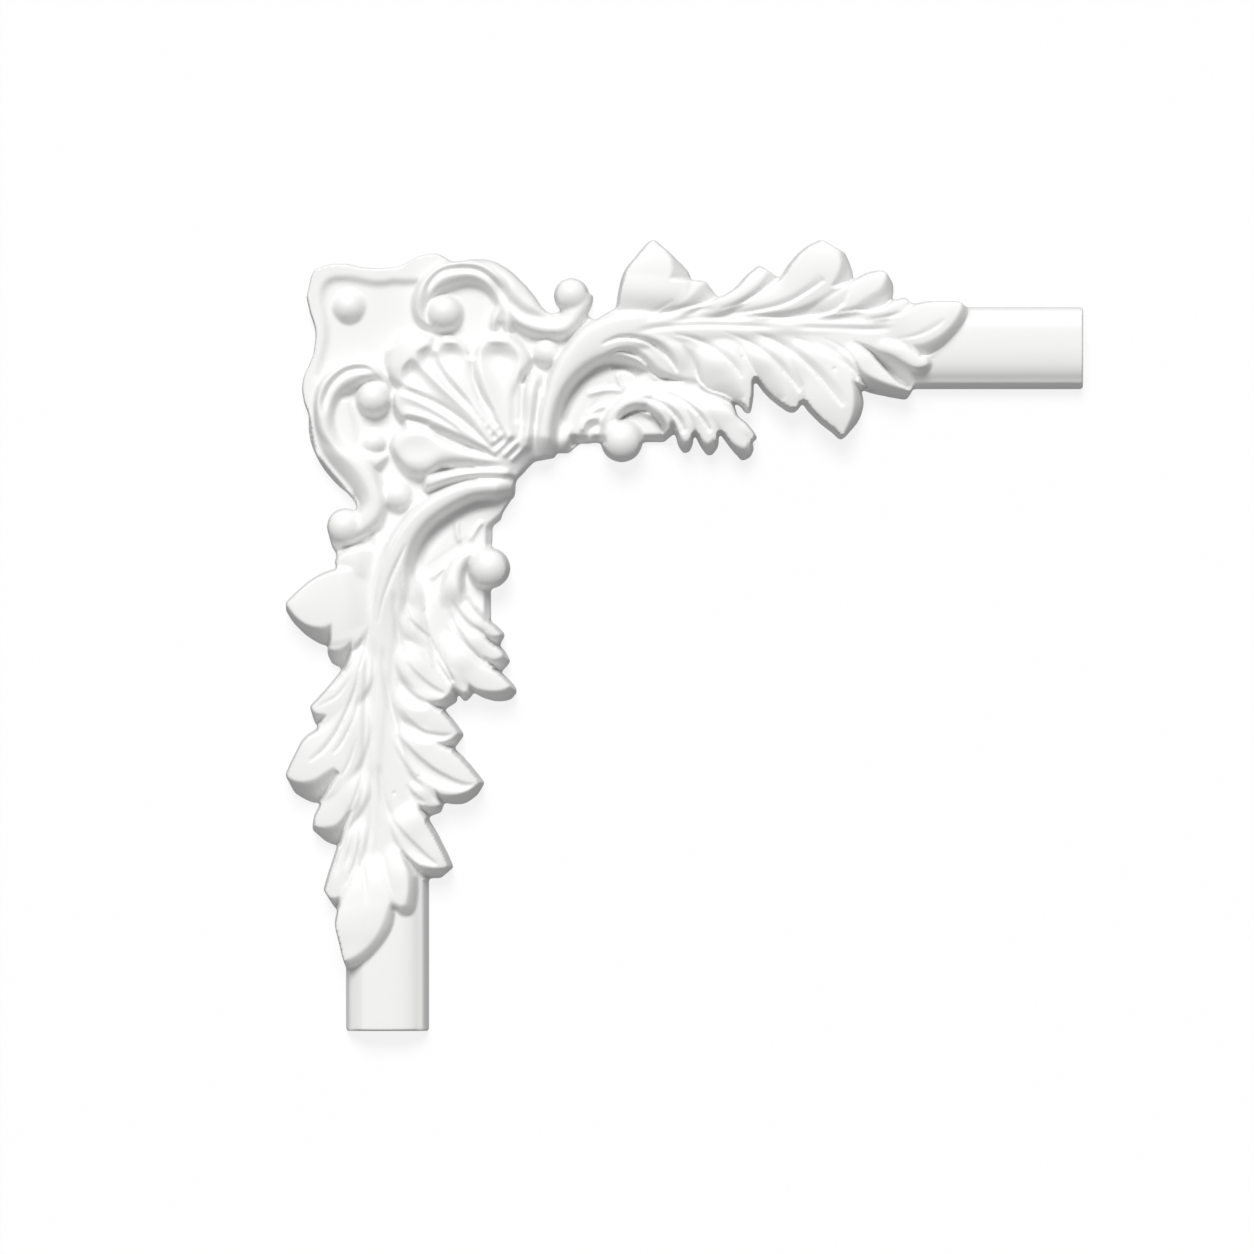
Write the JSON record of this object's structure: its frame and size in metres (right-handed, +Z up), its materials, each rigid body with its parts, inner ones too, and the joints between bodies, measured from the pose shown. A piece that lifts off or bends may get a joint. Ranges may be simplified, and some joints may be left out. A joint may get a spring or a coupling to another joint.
{
  "type": "moulding corner",
  "caption": "Cast ornamental corner for panel mouldings: leaf sprays on two arms at a right angle, scrolls and a shell at the corner, plain stubs at both ends, flat back.",
  "frame": {"origin": "where the centrelines of the two moulding stubs cross, on the flat back", "axes": "+X right along one arm, +Z up with the other arm running down, +Y into the wall, so the relief stands out towards -Y"},
  "size_m": [0.2989, 0.0176, 0.2964],
  "materials": {
    "casting": "white primed polyurethane, matt to satin"
  },
  "bodies": {
    "root": {"moulding_corner": "casting"}
  },
  "joints": []
}
